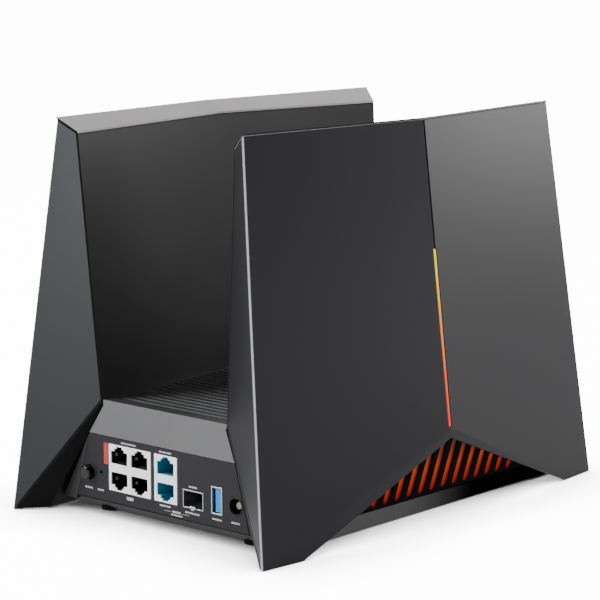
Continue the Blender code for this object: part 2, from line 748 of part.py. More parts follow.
def panel_outline():
    return [
        (-PANEL_BOTTOM_HALF, PANEL_BOTTOM),
        (PANEL_BOTTOM_HALF, PANEL_BOTTOM),
        (PANEL_TOP_HALF, PANEL_TOP),
        (-PANEL_TOP_HALF, PANEL_TOP),
    ]


def make_end_panels():
    """The port panel at -Y with its openings, and the plain panel at the far end."""
    back = PANEL_FACE_Y - PANEL_DEPTH
    mesh = outline_mesh([panel_outline()], "XZ", -PANEL_FACE_Y, -back)
    panel = add_part("port_panel", mesh, DARK_GREY, 0.5)
    near, far = -PANEL_FACE_Y - 5, -back + 5
    usb_x, usb_z = USB_CENTRE
    usb_half_x, usb_half_z = USB_SHELL[0] / 2 + GAP, USB_SHELL[1] / 2 + GAP
    windows = [
        (LAN_BEZEL[0] - GAP, LAN_BEZEL[1] + GAP, BEZEL_LOW - GAP, BEZEL_HIGH + GAP),
        (WAN_BEZEL[0] - GAP, WAN_BEZEL[1] + GAP, BEZEL_LOW - GAP, BEZEL_HIGH + GAP),
        (SFP_BOX[0] - GAP, SFP_BOX[1] + GAP, SFP_BOX[2] - GAP, SFP_BOX[3] + GAP),
        (usb_x - usb_half_x, usb_x + usb_half_x, usb_z - usb_half_z, usb_z + usb_half_z),
    ]
    corners = [((left, near, low), (right, far, high)) for left, right, low, high in windows]
    combine(panel, "DIFFERENCE", add_cutter("port_windows", boxes(corners)))
    rounds = [
        (DC_CENTRE, DC_OUTER + DC_CLEARANCE, near, far),
        (BUTTON_CENTRE, BUTTON_HOLE, near, far),
        (RESET_CENTRE, PINHOLE_RADIUS, near, far),
    ]
    combine(panel, "DIFFERENCE", add_cutter("port_holes", cylinders(rounds, "Y")))
    mesh = outline_mesh([panel_outline()], "XZ", back, PANEL_FACE_Y)
    add_part("front_panel", mesh, DARK_GREY, 0.5)


def cut_sockets(obj, columns, front):
    """Cuts a column of two network sockets at each place: the plug's width, then two latch steps."""
    overlap = 0.5
    start = 0.0
    for step, (width, end, depth) in enumerate(JACK_STEPS):
        corners = []
        for centre in columns:
            for edge, sign in ((JACK_TOP_ROW, 1), (JACK_LOW_ROW, -1)):
                heights = sorted((edge + sign * start, edge + sign * end))
                corners.append(
                    (
                        (centre - width / 2, -front - 5, heights[0]),
                        (centre + width / 2, -front + depth, heights[1]),
                    )
                )
        combine(obj, "DIFFERENCE", add_cutter(f"{obj.name}_sockets_{step}", boxes(corners)))
        start = end - overlap


def make_jacks():
    """White bezels with the network sockets, and the socket blocks behind them."""
    front = PANEL_FACE_Y + BEZEL_PROUD
    bezel_back = front - BEZEL_WALL
    block_front = bezel_back - GAP
    groups = (
        ("lan", LAN_BEZEL, LAN_COLUMNS, BLACK),
        ("wan", WAN_BEZEL, WAN_COLUMNS, TEAL),
    )
    for label, (left, right), columns, colour in groups:
        plate = boxes([((left, -front, BEZEL_LOW), (right, -bezel_back, BEZEL_HIGH))])
        bezel = add_part(f"{label}_bezel", plate, WHITE, 0.4)
        cut_sockets(bezel, columns, front)
        low = (left, -block_front, BEZEL_LOW)
        block = boxes([(low, (right, -JACK_BLOCK_BACK, BEZEL_HIGH))])
        housing = add_part(f"{label}_jack_block", block, colour, 0.5)
        cut_sockets(housing, columns, block_front)


def make_other_ports():
    """Module cage, vertical USB socket and round power inlet."""
    left, right, low, high = SFP_BOX
    front = PANEL_FACE_Y + BEZEL_PROUD
    cage = add_part(
        "sfp_cage", boxes([((left, -front, low), (right, -SFP_BACK, high))]), STEEL, 0.3, 1.0
    )
    wall = SFP_WALL
    hollow = boxes([((left + wall, -130, low + wall), (right - wall, -SFP_BACK - wall, high - wall))])
    combine(cage, "DIFFERENCE", add_cutter("sfp_hollow", hollow))

    x, z = USB_CENTRE
    half_x, half_z = USB_SHELL[0] / 2, USB_SHELL[1] / 2
    shell = add_part(
        "usb_shell",
        boxes([((x - half_x, -front, z - half_z), (x + half_x, -USB_BACK, z + half_z))]),
        STEEL,
        0.25,
        1.0,
    )
    half_x -= USB_WALL
    half_z -= USB_WALL
    hollow = boxes([((x - half_x, -130, z - half_z), (x + half_x, -USB_BACK - USB_WALL, z + half_z))])
    combine(shell, "DIFFERENCE", add_cutter("usb_hollow", hollow))
    half_x -= GAP
    half_z -= GAP
    root = USB_BACK + USB_WALL + GAP
    near_face = -root - USB_ROOT_DEPTH
    block = boxes([((x - half_x, near_face, z - half_z), (x + half_x, -root, z + half_z))])
    tongue = add_part("usb_tongue", block, (0.03, 0.35, 0.78), 0.4)
    width, height = USB_TONGUE
    tip = USB_TONGUE_SETBACK - front
    blade = boxes(
        [((x + half_x - width, tip, z - height / 2), (x + half_x, near_face + 1, z + height / 2))]
    )
    combine(tongue, "UNION", add_cutter("usb_blade", blade))

    length = front - DC_BACK
    tip = length - DC_PIN_SETBACK
    jack = turned(
        "dc_inlet",
        [
            (0, DC_FLOOR),
            (DC_INNER, DC_FLOOR),
            (DC_INNER, length),
            (DC_OUTER, length),
            (DC_OUTER, 0),
            (0, 0),
        ],
        BLACK,
        0.4,
    )
    stand_towards_port(jack, DC_CENTRE, -DC_BACK)
    pin = turned(
        "dc_pin",
        [
            (0, tip),
            (DC_PIN - EDGE_BREAK, tip),
            (DC_PIN, tip - EDGE_BREAK),
            (DC_PIN, DC_FLOOR + GAP),
            (0, DC_FLOOR + GAP),
        ],
        (0.36, 0.33, 0.28),
        0.3,
        1.0,
    )
    stand_towards_port(pin, DC_CENTRE, -DC_BACK)


def stand_towards_port(obj, centre, y):
    """Places a turned piece with its own Z axis pointing out of the port panel."""
    obj.rotation_euler = (math.radians(90), 0, 0)
    obj.location = mm(centre[0], y, centre[1])


def make_buttons():
    """Push button and reset key, each with the switch it works."""
    face = PANEL_FACE_Y + BUTTON_PROUD
    collar_front = PANEL_FACE_Y - PANEL_DEPTH - GAP
    stem_end = SWITCH_FRONT - BUTTON_STEM_REACH
    stem = collar_front - BUTTON_COLLAR_WALL
    button = turned(
        "power_button",
        [
            (0, face - stem_end),
            (BUTTON_RADIUS - EDGE_BREAK, face - stem_end),
            (BUTTON_RADIUS, face - stem_end - EDGE_BREAK),
            (BUTTON_RADIUS, collar_front - stem_end),
            (BUTTON_COLLAR, collar_front - stem_end),
            (BUTTON_COLLAR, stem - stem_end),
            (BUTTON_STEM, stem - stem_end),
            (BUTTON_STEM, 0),
            (0, 0),
        ],
        BLACK,
        0.4,
    )
    stand_towards_port(button, BUTTON_CENTRE, -stem_end)
    x, z = BUTTON_CENTRE
    low = (x - SWITCH_HALF_WIDTH, -SWITCH_FRONT, BOARD_TOP + GAP)
    body = boxes([(low, (x + SWITCH_HALF_WIDTH, -SWITCH_BACK, z + SWITCH_HEADROOM))])
    switch = add_part("power_switch", body, (0.03, 0.03, 0.03), 0.5)
    bore = (BUTTON_CENTRE, BUTTON_STEM + GAP, -SWITCH_FRONT - 1, -stem_end + BUTTON_TRAVEL + 1)
    combine(switch, "DIFFERENCE", add_cutter("power_switch_bore", cylinders([bore], "Y")))

    stem_end = RESET_FRONT - RESET_LENGTH
    key = turned(
        "reset_key",
        [(0, RESET_LENGTH), (RESET_RADIUS, RESET_LENGTH), (RESET_RADIUS, 0), (0, 0)],
        BLACK,
        0.5,
    )
    stand_towards_port(key, RESET_CENTRE, -stem_end)
    low_x, high_x, top = RESET_SWITCH
    body = boxes(
        [((low_x, -RESET_SWITCH_FRONT, BOARD_TOP + GAP), (high_x, -RESET_SWITCH_BACK, top))]
    )
    switch = add_part("reset_switch", body, STEEL, 0.35, 1.0)
    bore = (RESET_CENTRE, RESET_RADIUS + GAP, -RESET_SWITCH_FRONT - 1, -stem_end + RESET_TRAVEL + 1)
    combine(switch, "DIFFERENCE", add_cutter("reset_switch_bore", cylinders([bore], "Y")))


def make_electronics():
    """Main board with its shields, thermal pad and finned heat sink."""
    corners = ((-BOARD_HALF_WIDTH, -BOARD_NEAR, BOARD_BOTTOM), (BOARD_HALF_WIDTH, BOARD_FAR, BOARD_TOP))
    board = add_part("main_board", boxes([corners]), BOARD_GREEN, 0.5)
    holes = [(place, POST_RADIUS + 0.8, 0, 30) for place in four(POST_X, POST_Y)]
    holes += [(place, SCREW_HOLE + GAP, 0, 30) for place in four(BOARD_SCREW_X, BOARD_SCREW_Y)]
    combine(board, "DIFFERENCE", add_cutter("board_holes", cylinders(holes, "Z")))

    bottom = BOARD_TOP + GAP
    for name, (left, right, near, far) in CANS.items():
        can = boxes([((left, near, bottom), (right, far, SHIELD_TOP))])
        add_part(name, can, STEEL, 0.35, 1.0)
    left, right, near, far = PAD_EDGES
    pad = boxes([((left, near, SHIELD_TOP + GAP), (right, far, PAD_TOP))])
    add_part("thermal_pad", pad, (0.35, 0.40, 0.45), 0.8)

    base = PAD_TOP + GAP
    half = SINK_HALF_WIDTH
    outline = [(-half, base), (half, base)]
    pitch = (2 * half - FIN_WALL) / (FIN_COUNT - 1)
    root = base + SINK_BASE
    for index in reversed(range(FIN_COUNT)):
        left = -half + index * pitch
        outline += [(left + FIN_WALL, root), (left + FIN_WALL, SINK_TOP), (left, SINK_TOP), (left, root)]
    outline = [outline[0], outline[1]] + outline[3:-1]
    add_part("heat_sink", outline_mesh([outline], "XZ", SINK_NEAR, SINK_FAR), STEEL, 0.4, 1.0)


def make_screws():
    """Four case screws from below and four that hold the main board."""
    bottom = TRAY_BOTTOM + 0.1
    for index, (x, y) in enumerate(four(POST_X, POST_Y), start=1):
        length = POST_BOTTOM + CASE_SCREW_REACH - bottom
        screw = turned(
            f"case_screw_{index}",
            [
                (0, length),
                (SCREW_SHAFT, length),
                (SCREW_SHAFT, SCREW_HEAD_HEIGHT),
                (SCREW_HEAD, SCREW_HEAD_HEIGHT),
                (SCREW_HEAD, 0),
                (0, 0),
            ],
            STEEL,
            0.3,
            1.0,
        )
        screw.location = mm(x, y, bottom)
    under_head = BOARD_TOP + GAP
    for index, (x, y) in enumerate(four(BOARD_SCREW_X, BOARD_SCREW_Y), start=1):
        length = under_head + SCREW_HEAD_HEIGHT - BOARD_SCREW_TIP
        screw = turned(
            f"board_screw_{index}",
            [
                (0, length),
                (SCREW_HEAD, length),
                (SCREW_HEAD, length - SCREW_HEAD_HEIGHT),
                (SCREW_SHAFT, length - SCREW_HEAD_HEIGHT),
                (SCREW_SHAFT, 0),
                (0, 0),
            ],
            STEEL,
            0.3,
            1.0,
        )
        screw.location = mm(x, y, BOARD_SCREW_TIP)


def make_feet():
    """Round rubber pads under the tray's ends, each rising in front against the slanted underside."""
    low = (-100, -130, TRAY_BOTTOM - GAP)
    room = clipped_block(low, (100, 20, 20), [moved_in(TRAY_SLANT, -GAP)], open_at_middle=True)
    underside = mirror_in_y(add_cutter("room_under_tray", room))
    for end, sign in (("near", -1), ("far", 1)):
        place = (FOOT_PAD_X, sign * FOOT_PAD_Y)
        pad = cylinders([(place, FOOT_PAD_RADIUS, 0, FOOT_PAD_HEIGHT)], "Z")
        foot = add_part(f"foot_pad_{end}_right", pad, BLACK, 0.8)
        combine(foot, "DIFFERENCE", underside)
        left_copy(foot, f"foot_pad_{end}_left", BLACK, 0.8)


clear_scene()
PARTS = make_collection("wireless_router")
CUTTERS = make_collection("cutters")
make_outer_panels()
make_inner_covers()
make_top_caps()
make_ridge_lights()
make_vent_windows()
make_antennas()
make_base_tray()
make_top_cover()
make_end_panels()
make_jacks()
make_other_ports()
make_buttons()
make_electronics()
make_screws()
make_feet()
for part in PARTS.objects:
    part.data.shade_smooth()
    part.data.set_sharp_from_angle(angle=math.radians(30))
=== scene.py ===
"""Desktop wireless router: two folded wings on a low body, dressed over the fixed CAD frame."""

import json
import math

import bmesh
import bpy
from mathutils import Matrix, Vector


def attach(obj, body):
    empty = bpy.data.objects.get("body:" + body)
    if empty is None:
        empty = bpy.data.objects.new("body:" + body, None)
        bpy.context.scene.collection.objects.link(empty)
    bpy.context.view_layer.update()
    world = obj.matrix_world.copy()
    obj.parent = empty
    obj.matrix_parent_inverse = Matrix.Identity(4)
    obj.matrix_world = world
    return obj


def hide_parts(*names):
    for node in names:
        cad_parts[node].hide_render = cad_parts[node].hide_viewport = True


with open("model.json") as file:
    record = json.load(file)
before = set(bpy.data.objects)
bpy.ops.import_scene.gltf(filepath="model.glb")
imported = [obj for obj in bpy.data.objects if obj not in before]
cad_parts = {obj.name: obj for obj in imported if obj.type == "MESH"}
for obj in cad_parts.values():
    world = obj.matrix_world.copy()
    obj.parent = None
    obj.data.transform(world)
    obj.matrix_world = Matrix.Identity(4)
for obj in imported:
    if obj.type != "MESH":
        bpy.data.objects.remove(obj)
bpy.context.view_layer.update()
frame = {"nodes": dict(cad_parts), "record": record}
nodes = frame["nodes"]

# ---------------------------------------------------------------------------
# Studio: a white light table, a key from the front left and a top light. Three
# smaller boxes draw the sheen on the far skin, the ridge and the end faces.

SKY_FILL = 0.11  # what the room gives the router
SKY_WHITE = 1.0  # what the lens sees of it

camera = bpy.data.objects.new("camera", bpy.data.cameras.new("camera"))
bpy.context.scene.collection.objects.link(camera)
camera.data.lens = 145.73
camera.data.sensor_width = 36
camera.location = (0.8505, -0.96495, 0.32703)
camera.rotation_euler = (math.radians(90 - 9.816), 0, math.radians(41.644))
bpy.context.scene.camera = camera

world = bpy.data.worlds.new("studio")
bpy.context.scene.world = world
world.use_nodes = True
sky = world.node_tree
sky.nodes["Background"].inputs["Color"].default_value = (1, 1, 1, 1)
sky.nodes["Background"].inputs["Strength"].default_value = SKY_FILL
backdrop = sky.nodes.new("ShaderNodeBackground")
backdrop.inputs["Color"].default_value = (1, 1, 1, 1)
backdrop.inputs["Strength"].default_value = SKY_WHITE
seen = sky.nodes.new("ShaderNodeLightPath")
either = sky.nodes.new("ShaderNodeMixShader")
sky.links.new(seen.outputs["Is Camera Ray"], either.inputs["Fac"])
sky.links.new(sky.nodes["Background"].outputs["Background"], either.inputs[1])
sky.links.new(backdrop.outputs["Background"], either.inputs[2])
sky.links.new(either.outputs["Shader"], sky.nodes["World Output"].inputs["Surface"])


def soft_box(name, place, aim, width, height, watts, tint=(1, 1, 1)):
    """A rectangular light that faces the place it's aimed at."""
    light = bpy.data.lights.new(name, "AREA")
    light.shape = "RECTANGLE"
    light.size = width
    light.size_y = height
    light.energy = watts
    light.color = tint
    lamp = bpy.data.objects.new(name, light)
    bpy.context.scene.collection.objects.link(lamp)
    lamp.location = place
    lamp.rotation_euler = (Vector(aim) - Vector(place)).to_track_quat("-Z", "Y").to_euler()


soft_box("key", (-0.85, -1.1, 0.95), (0, -0.05, 0.08), 0.8, 0.8, 40)
soft_box("top_light", (-1.25, 0.15, 1.35), (0, 0, 0.15), 1.2, 1.2, 52)
soft_box("far_strip", (0.4, 0.96, 0.44), (0.08, 0.05, 0.14), 0.32, 0.5, 5.6)
soft_box("ridge_kicker", (0.45, 0.35, 0.1), (0.09, -0.02, 0.12), 0.22, 0.12, 0.1)
soft_box("front_strip", (0.32, -1.3, 0.14), (-0.07, -0.12, 0.17), 0.35, 0.18, 3.8, (0.88, 0.93, 1.0))


def finish_nodes(name):
    """A new material, its shader and a place to read the piece's own coordinates from."""
    material = bpy.data.materials.new(name)
    material.use_nodes = True
    tree = material.node_tree
    shader = tree.nodes["Principled BSDF"]
    place = tree.nodes.new("ShaderNodeTexCoord")
    return material, tree, shader, place.outputs["Object"]


def srgb(code):
    """A six-digit colour code as linear red, green, blue and alpha."""
    parts = [int(code[i : i + 2], 16) / 255 for i in (0, 2, 4)]
    return (*[c / 12.92 if c <= 0.04045 else ((c + 0.055) / 1.055) ** 2.4 for c in parts], 1)


GRAIN_HEIGHT = 0.0001


def moulded(name, dark, light, roughness, grain=2200.0, depth=0.02, sheen=0.5):
    """Moulded plastic: a fine spark-eroded grain, a slow drift of tone, and rubbed patches."""
    material, tree, shader, place = finish_nodes(name)
    drift = tree.nodes.new("ShaderNodeTexNoise")
    drift.inputs["Scale"].default_value = 14.0
    drift.inputs["Detail"].default_value = 5.0
    tree.links.new(place, drift.inputs["Vector"])
    tone = tree.nodes.new("ShaderNodeValToRGB")
    tone.color_ramp.elements[0].position = 0.3
    tone.color_ramp.elements[0].color = srgb(dark)
    tone.color_ramp.elements[1].position = 0.7
    tone.color_ramp.elements[1].color = srgb(light)
    tree.links.new(drift.outputs["Fac"], tone.inputs["Fac"])
    tree.links.new(tone.outputs["Color"], shader.inputs["Base Color"])
    rub = tree.nodes.new("ShaderNodeMapRange")
    rub.inputs["To Min"].default_value = roughness - 0.05
    rub.inputs["To Max"].default_value = roughness + 0.05
    tree.links.new(drift.outputs["Fac"], rub.inputs["Value"])
    tree.links.new(rub.outputs["Result"], shader.inputs["Roughness"])
    erosion = tree.nodes.new("ShaderNodeTexNoise")
    erosion.inputs["Scale"].default_value = grain
    erosion.inputs["Detail"].default_value = 2.0
    tree.links.new(place, erosion.inputs["Vector"])
    bump = tree.nodes.new("ShaderNodeBump")
    bump.inputs["Strength"].default_value = depth * 10
    bump.inputs["Distance"].default_value = GRAIN_HEIGHT
    tree.links.new(erosion.outputs["Fac"], bump.inputs["Height"])
    tree.links.new(bump.outputs["Normal"], shader.inputs["Normal"])
    shader.inputs["Specular IOR Level"].default_value = sheen
    return material


table_top = moulded("table_top", "959595", "989898", 0.7, grain=300.0, depth=0.0, sheen=0.1)
TABLE_GLOW = 0.56  # what the table gives the router from below
TABLE_WHITE = 14.0  # what the lens sees of it, clear of the router
TABLE_HALF_SIZE = 6.0
TABLE_DROP = 0.0002  # keeps the table just clear of the feet
CONTACT_REACH = 0.05  # how far the shadow round the feet spreads
CONTACT_FALL = 2.2
lit = table_top.node_tree
lit.nodes["Principled BSDF"].inputs["Emission Color"].default_value = (1, 1, 1, 1)
near_contact = lit.nodes.new("ShaderNodeAmbientOcclusion")
near_contact.inputs["Distance"].default_value = CONTACT_REACH
near_contact.samples = 8
fall = lit.nodes.new("ShaderNodeMath")
fall.operation = "POWER"
fall.inputs[1].default_value = CONTACT_FALL
lit.links.new(near_contact.outputs["AO"], fall.inputs[0])
seen_table = lit.nodes.new("ShaderNodeLightPath")
shine = lit.nodes.new("ShaderNodeMix")
shine.inputs["A"].default_value = TABLE_GLOW
white = lit.nodes.new("ShaderNodeMath")
white.operation = "MULTIPLY"
white.inputs[1].default_value = TABLE_WHITE
lit.links.new(fall.outputs["Value"], white.inputs[0])
lit.links.new(seen_table.outputs["Is Camera Ray"], shine.inputs["Factor"])
lit.links.new(white.outputs["Value"], shine.inputs["B"])
lit.links.new(shine.outputs["Result"], lit.nodes["Principled BSDF"].inputs["Emission Strength"])
bm = bmesh.new()
bmesh.ops.create_grid(bm, x_segments=1, y_segments=1, size=TABLE_HALF_SIZE)
table_mesh = bpy.data.meshes.new("table")
bm.to_mesh(table_mesh)
bm.free()
table_mesh.transform(Matrix.Translation((0, 0, -TABLE_DROP)))
table = bpy.data.objects.new("table", table_mesh)
bpy.context.scene.collection.objects.link(table)
table_mesh.materials.append(table_top)

# ---------------------------------------------------------------------------
# Wing skins: one folded sheet per side in dark satin lacquer, its sharp ends
# ground to a bright bevel, with a light slot and a groove down the ridge.

WING_EDGE_SOFTNESS = 0.00025
WELD_DISTANCE = 0.000002
FLAT_ANGLE = math.radians(0.4)
CORNER_ANGLE = math.radians(28)
WING_END = 0.1  # past this along Y, a face across Y is an end face
GROOVE_HALF_WIDTH = 0.0012
GROOVE_FLOOR_HALF_WIDTH = 0.0006
LIGHT_SLOT_FOOT = 0.046
GROOVE_FOOT = 0.050


def piece(name, mesh, body="router"):
    """A shown object that moves with its body."""
    obj = bpy.data.objects.new(name, mesh)
    bpy.context.scene.collection.objects.link(obj)
    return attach(obj, body)


def clean_copy(node):
    """The node's shape as whole flat faces in place of loose triangles."""
    bm = bmesh.new()
    bm.from_mesh(nodes[node].data)
    bmesh.ops.remove_doubles(bm, verts=bm.verts, dist=WELD_DISTANCE)
    bmesh.ops.dissolve_limit(bm, angle_limit=FLAT_ANGLE, verts=bm.verts, edges=bm.edges)
    mesh = bpy.data.meshes.new(node + "_skin")
    bm.to_mesh(mesh)
    bm.free()
    return mesh


def frame_body(node):
    """The moving body that the node belongs to."""
    bodies = frame["record"]["behaviour"]["bodies"]
    return next(body for body, members in bodies.items() if node in members)


def softened(name, node, finishes, softness, segments=2):
    """A piece in the node's place, with its sharp edges rounded off."""
    obj = piece(name, clean_copy(node), frame_body(node))
    obj.data.materials.clear()
    for finish in finishes:
        obj.data.materials.append(finish)
    for face in obj.data.polygons:
        face.material_index = 0
    rounding = obj.modifiers.new("rounding", "BEVEL")
    rounding.width = softness
    rounding.segments = segments
    rounding.limit_method = "ANGLE"
    rounding.angle_limit = CORNER_ANGLE
    rounding.harden_normals = True
    obj.data.shade_smooth()
    obj.data.set_sharp_from_angle(angle=CORNER_ANGLE)
    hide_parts(node)
    return obj


def lacquer():
    """Dark blue-grey satin lacquer with a faint metal flake and slow patches of haze."""
    material, tree, shader, place = finish_nodes("satin_lacquer")
    flake = tree.nodes.new("ShaderNodeTexNoise")
    flake.inputs["Scale"].default_value = 2600.0
    flake.inputs["Detail"].default_value = 1.0
    tree.links.new(place, flake.inputs["Vector"])
    tone = tree.nodes.new("ShaderNodeValToRGB")
    tone.color_ramp.elements[0].position = 0.35
    tone.color_ramp.elements[0].color = srgb("17161c")
    tone.color_ramp.elements[1].position = 0.75
    tone.color_ramp.elements[1].color = srgb("201f26")
    tree.links.new(flake.outputs["Fac"], tone.inputs["Fac"])
    tree.links.new(tone.outputs["Color"], shader.inputs["Base Color"])
    haze = tree.nodes.new("ShaderNodeTexNoise")
    haze.inputs["Scale"].default_value = 9.0
    haze.inputs["Detail"].default_value = 4.0
    tree.links.new(place, haze.inputs["Vector"])
    rub = tree.nodes.new("ShaderNodeMapRange")
    rub.inputs["To Min"].default_value = 0.36
    rub.inputs["To Max"].default_value = 0.44
    tree.links.new(haze.outputs["Fac"], rub.inputs["Value"])
    tree.links.new(rub.outputs["Result"], shader.inputs["Roughness"])
    shader.inputs["Specular IOR Level"].default_value = 0.45
    return material


def bright_bevel():
    """Bare ground metal where the lacquer stops."""
    material, tree, shader, place = finish_nodes("ground_edge")
    lines = tree.nodes.new("ShaderNodeTexNoise")
    lines.inputs["Scale"].default_value = 900.0
    stretch = tree.nodes.new("ShaderNodeMapping")
    stretch.inputs["Scale"].default_value = (1.0, 1.0, 0.03)
    tree.links.new(place, stretch.inputs["Vector"])
    tree.links.new(stretch.outputs["Vector"], lines.inputs["Vector"])
    tone = tree.nodes.new("ShaderNodeValToRGB")
    tone.color_ramp.elements[0].color = srgb("97969b")
    tone.color_ramp.elements[1].color = srgb("b4b3b7")
    tree.links.new(lines.outputs["Fac"], tone.inputs["Fac"])
    tree.links.new(tone.outputs["Color"], shader.inputs["Base Color"])
    shader.inputs["Metallic"].default_value = 0.25
    shader.inputs["Roughness"].default_value = 0.42
    return material


satin_lacquer = lacquer()
ground_edge = bright_bevel()
slot_black = moulded("slot_black", "050505", "0a0a0a", 0.5)
end_satin = moulded("end_satin", "101013", "161619", 0.34, grain=2600.0, depth=0.006)

for side, sign in (("right", 1), ("left", -1)):
    skin = softened(
        f"wing_skin_{side}",
        f"wing_outer_panel_{side}",
        [satin_lacquer, ground_edge, slot_black, end_satin],
        WING_EDGE_SOFTNESS,
    )
    for face in skin.data.polygons:
        normal, centre = face.normal, face.center
        slot_wall = abs(centre.y) < GROOVE_HALF_WIDTH and abs(normal.x) < 0.9 and centre.z > LIGHT_SLOT_FOOT
        groove_floor = abs(centre.y) < GROOVE_FLOOR_HALF_WIDTH and centre.z > GROOVE_FOOT
        if normal.x * sign > 0.45 and abs(normal.y) > 0.5:
            face.material_index = 1
        elif abs(normal.y) > 0.8 and abs(centre.y) > WING_END:
            face.material_index = 3
        elif slot_wall or groove_floor:
            face.material_index = 2

# ---------------------------------------------------------------------------
# Inner covers and top caps: grained plastic mouldings that close each wing.
# The cap snaps in along the top between the skin and the cover.

inner_grain = moulded("inner_grain", "131313", "191919", 0.37, sheen=0.45)
cap_grain = moulded("cap_grain", "cbc7c8", "d5d1d2", 0.45)
# Near black: painted shade on faces that look down or away, and a dark line along the caps' ends.
shade_and_seam_black = moulded("shade_and_seam_black", "030304", "060607", 0.5, sheen=0.12)
LEG_END = 0.11  # past this along Y, a face across Y is the leg's end

for side, sign in (("right", 1), ("left", -1)):
    lining = softened(
        f"wing_lining_{side}",
        f"wing_inner_cover_{side}",
        [inner_grain, shade_and_seam_black],
        0.0003,
    )
    # Painted shade: faces that look down or outward, and the left wing's ends, take the near black.
    for face in lining.data.polygons:
        inward = -face.normal.x * sign
        if side == "right" and abs(face.normal.y) > 0.8 and abs(face.center.y) > LEG_END:
            face.material_index = 0
        elif face.normal.z < -0.2 or inward < 0.9:
            face.material_index = 1
    cap = softened(
        f"wing_cap_{side}",
        f"wing_top_cap_{side}",
        [cap_grain, end_satin, shade_and_seam_black],
        0.00015,
    )
    for face in cap.data.polygons:
        if face.normal.x * sign > 0.9:
            face.material_index = 1
        # The cap's ends take the near black, a dark line along the top of each end face.
        elif face.normal.z < 0.5 and abs(face.normal.y) > 0.5:
            face.material_index = 2

# ---------------------------------------------------------------------------
# Ridge lights: a clear bar pressed into each slot, lit from the board behind,
# shading from pale yellow at the top to red at the rounded lower end.


RIDGE_LIGHT_FOOT = 0.049
RIDGE_LIGHT_TOP = 0.141
UNLIT_RED = (0.02, 0.004, 0.002, 1)


def glow(name, stops, strength, low, high, roughness=0.35, shade_band_pitch=None):
    """A milky plastic that shines by a run of colours up its height.

    With a band pitch it's brightest in bands that far apart along Y, and painted darker between them as
    shade towards the sides of each slot.
    """
    material, tree, shader, place = finish_nodes(name)
    parts = tree.nodes.new("ShaderNodeSeparateXYZ")
    tree.links.new(place, parts.inputs["Vector"])
    climb = tree.nodes.new("ShaderNodeMapRange")
    climb.inputs["From Min"].default_value = low
    climb.inputs["From Max"].default_value = high
    tree.links.new(parts.outputs["Z"], climb.inputs["Value"])
    run = tree.nodes.new("ShaderNodeValToRGB")
    while len(run.color_ramp.elements) < len(stops):
        run.color_ramp.elements.new(0.5)
    for element, (position, code) in zip(run.color_ramp.elements, stops):
        element.position = position
        element.color = srgb(code)
    tree.links.new(climb.outputs["Result"], run.inputs["Fac"])
    tree.links.new(run.outputs["Color"], shader.inputs["Emission Color"])
    shader.inputs["Roughness"].default_value = roughness
    if shade_band_pitch:
        across_band = tree.nodes.new("ShaderNodeMath")
        across_band.operation = "PINGPONG"
        across_band.inputs[1].default_value = shade_band_pitch / 2
        tree.links.new(parts.outputs["Y"], across_band.inputs[0])
        fade = tree.nodes.new("ShaderNodeMapRange")
        fade.interpolation_type = "SMOOTHSTEP"
        fade.inputs["From Min"].default_value = shade_band_pitch * 0.2
        fade.inputs["From Max"].default_value = shade_band_pitch * 0.48
        fade.inputs["To Min"].default_value = strength
        fade.inputs["To Max"].default_value = strength * 0.06
        tree.links.new(across_band.outputs["Value"], fade.inputs["Value"])
        tree.links.new(fade.outputs["Result"], shader.inputs["Emission Strength"])
        shader.inputs["Base Color"].default_value = UNLIT_RED
    else:
        tree.links.new(run.outputs["Color"], shader.inputs["Base Color"])
        shader.inputs["Emission Strength"].default_value = strength
    return material


ridge_glow = glow(
    "ridge_glow",
    [(0.0, "ec2f10"), (0.3, "ee5418"), (0.6, "f09020"), (1.0, "eede30")],
    0.9,
    RIDGE_LIGHT_FOOT,
    RIDGE_LIGHT_TOP,
)
lamp_board = moulded("lamp_board", "d8d8d4", "e4e4e0", 0.5)
for side in ("right", "left"):
    softened(
        f"ridge_light_{side}",
        f"ridge_light_guide_{side}",
        [ridge_glow],
        0.0004,
        segments=3,
    )
    nodes[f"ridge_light_board_{side}"].data.materials.clear()
    nodes[f"ridge_light_board_{side}"].data.materials.append(lamp_board)

# ---------------------------------------------------------------------------
# Side vents: a black slotted plate leans back behind each window, and a milky
# diffuser behind it glows through the slots. A grey sill closes the foot.

SLOT_PITCH = 0.0095
DIFFUSER_FOOT = 0.008
DIFFUSER_TOP = 0.040
vent_black = moulded("vent_black", "020202", "040404", 0.5, sheen=0.03)
sill_grey = moulded("sill_grey", "303131", "393a3a", 0.5, sheen=0.3)


def paint_shade_along_y(material, start, end, floor):
    """Paints shade on a moulded finish: fades its colour and its sheen towards black along Y."""
    tree = material.node_tree
    shader = tree.nodes["Principled BSDF"]
    tone = shader.inputs["Base Color"].links[0].from_socket
    place = tree.nodes.new("ShaderNodeTexCoord")
    parts = tree.nodes.new("ShaderNodeSeparateXYZ")
    tree.links.new(place.outputs["Object"], parts.inputs["Vector"])
    fade = tree.nodes.new("ShaderNodeMapRange")
    fade.interpolation_type = "SMOOTHSTEP"
    fade.inputs["From Min"].default_value = start
    fade.inputs["From Max"].default_value = end
    fade.inputs["To Min"].default_value = 1.0
    fade.inputs["To Max"].default_value = floor
    tree.links.new(parts.outputs["Y"], fade.inputs["Value"])
    dim = tree.nodes.new("ShaderNodeVectorMath")
    dim.operation = "SCALE"
    tree.links.new(tone, dim.inputs["Vector"])
    tree.links.new(fade.outputs["Result"], dim.inputs["Scale"])
    tree.links.new(dim.outputs["Vector"], shader.inputs["Base Color"])
    tree.links.new(fade.outputs["Result"], shader.inputs["Specular IOR Level"])
